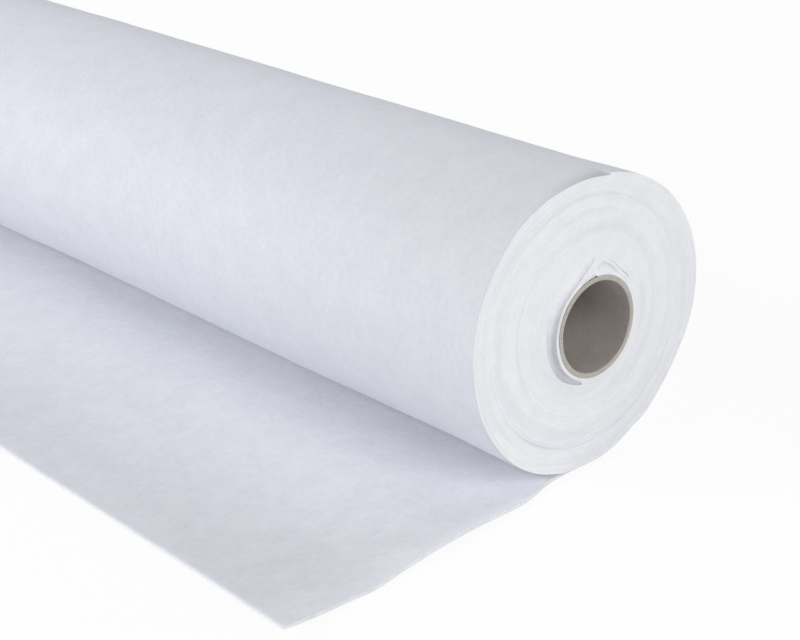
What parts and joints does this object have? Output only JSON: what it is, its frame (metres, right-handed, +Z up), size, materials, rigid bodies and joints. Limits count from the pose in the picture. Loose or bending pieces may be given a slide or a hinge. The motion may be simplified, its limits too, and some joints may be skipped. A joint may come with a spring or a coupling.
{
  "type": "geotextile roll",
  "caption": "Roll of white needle-punched felt wound on a cardboard core, with its free end drawn out flat over the ground.",
  "frame": {"origin": "middle of the rectangle that the part covers, on the ground it lies on", "axes": "+X along the roll, towards the end that the picture shows; -Y the way the free end runs out; +Z up"},
  "size_m": [1.001, 0.4488, 0.2472],
  "materials": {
    "core_cardboard": "matte",
    "felt_wound": "matte",
    "felt_wall": "matte",
    "felt_free": "matte"
  },
  "bodies": {
    "outer_turns": {"web_outer_turns": "felt_wall"},
    "wound_core": {"core_tube": "core_cardboard", "web_inner_turns": "felt_wound"},
    "tail": {"web_tail": "felt_free"}
  },
  "joints": [
    {"name": "roll_turn", "type": "hinge", "parent": "outer_turns", "child": "wound_core", "pos_m": [0, 0.09742, 0.12568], "axis": [-1, 0, 0], "range_deg": [0, 45]},
    {"name": "tail_draw", "type": "slide", "parent": "outer_turns", "child": "tail", "axis": [0, -1, 0], "range_m": [0, 0.0976]}
  ],
  "couplings": [
    {"joint": "tail_draw", "follows": "roll_turn", "m_per_rad": 0.12428}
  ]
}
